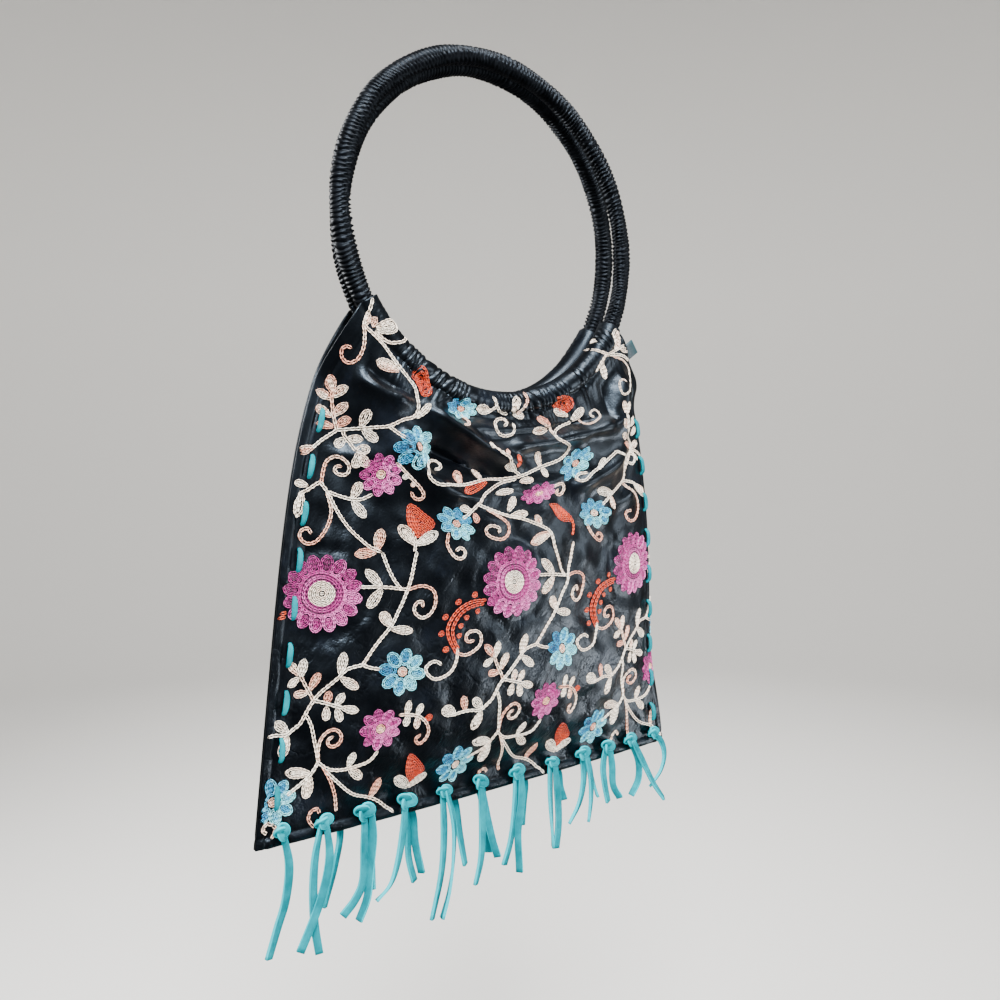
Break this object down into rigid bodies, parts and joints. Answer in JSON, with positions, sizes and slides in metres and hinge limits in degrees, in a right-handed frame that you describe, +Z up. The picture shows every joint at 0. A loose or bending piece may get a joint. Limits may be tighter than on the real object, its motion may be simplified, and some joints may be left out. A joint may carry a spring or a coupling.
{
  "type": "fringed handbag",
  "caption": "Soft black leather handbag with round bound handles, crewel flower embroidery, suede side laces and a knotted suede fringe along its lower edge",
  "frame": {"origin": "where the bag hangs: the top of the rings' inner edge, midway between the two rings", "axes": "+Z up, the front faces -Y, +X to the right seen from the front"},
  "size_m": [0.2792, 0.0499, 0.4752],
  "materials": {
    "leather": "soft satin black leather",
    "binding": "black cord bound closely round the ring",
    "suede": "matte turquoise suede",
    "label": "plain woven label"
  },
  "bodies": {
    "root": {"front_panel": "leather", "back_panel": "leather", "front_ring": "binding", "back_ring": "binding", "left_lace": "suede", "right_lace": "suede", "tassel_01": "suede", "tassel_02": "suede", "tassel_03": "suede", "tassel_04": "suede", "tassel_05": "suede", "tassel_06": "suede", "tassel_07": "suede", "tassel_08": "suede", "tassel_09": "suede", "tassel_10": "suede", "tassel_11": "suede", "tassel_12": "suede", "side_label": "label"}
  },
  "joints": []
}
